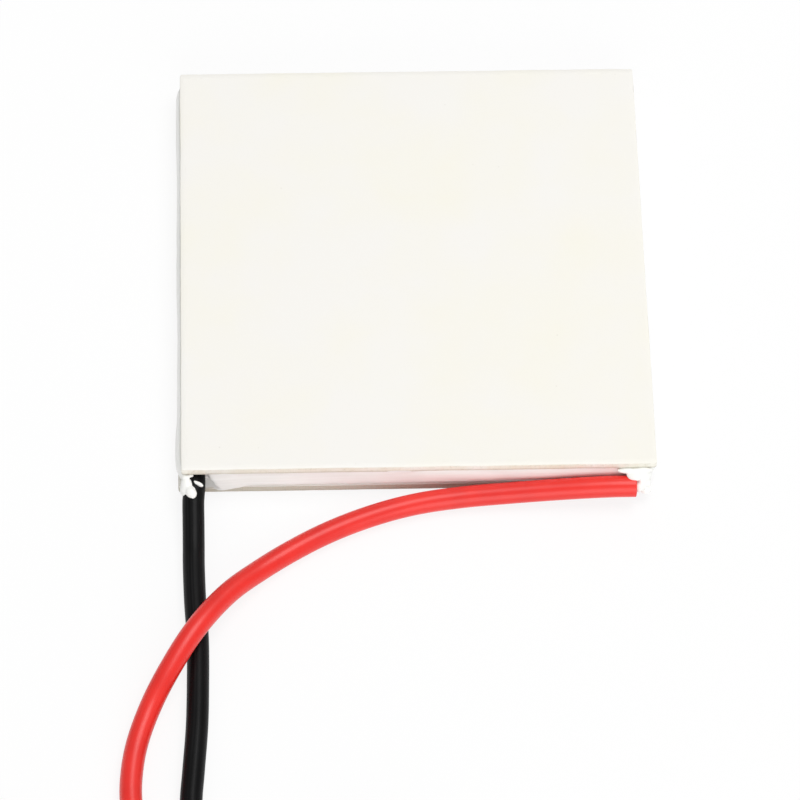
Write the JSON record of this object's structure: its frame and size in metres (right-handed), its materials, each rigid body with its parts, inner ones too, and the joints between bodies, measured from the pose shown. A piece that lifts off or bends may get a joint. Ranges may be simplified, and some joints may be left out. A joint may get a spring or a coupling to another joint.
{
  "type": "thermoelectric cooling module",
  "caption": "Flat square thermoelectric module: ceramic plates over soldered semiconductor couples, sealed round the edge, with a red and a black wire lead.",
  "frame": {"origin": "middle of the hot plate's underside, on the surface that the module lies on", "axes": "+Z out of the cold face, leads leave towards -Y with black at -X and red at +X"},
  "size_m": [0.0697, 0.0994, 0.0038],
  "materials": {
    "alumina": "white alumina, ground to a satin",
    "copper": "plain copper",
    "p_alloy": "grey semiconductor, as sawn",
    "n_alloy": "grey semiconductor, as sawn",
    "solder": "bright solder",
    "tinned_strand": "tinned copper strand",
    "sealant": "white silicone, glossy",
    "black_insulation": "soft vinyl, half gloss",
    "red_insulation": "soft vinyl, half gloss"
  },
  "bodies": {
    "root": {"hot_plate": "alumina", "cold_plate": "alumina", "hot_bridges": "copper", "cold_bridges": "copper", "negative_pad": "copper", "positive_pad": "copper", "p_pellets": "p_alloy", "n_pellets": "n_alloy", "hot_solder": "solder", "cold_solder": "solder", "edge_sealant": "sealant", "black_conductor": "tinned_strand", "red_conductor": "tinned_strand", "black_solder_mound": "solder", "red_solder_mound": "solder", "black_sealant_dab": "sealant", "red_sealant_dab": "sealant", "black_lead": "black_insulation", "red_lead": "red_insulation", "black_lead_coil": "black_insulation", "red_lead_coil": "red_insulation", "black_tinned_end": "tinned_strand", "red_tinned_end": "tinned_strand"}
  },
  "joints": []
}
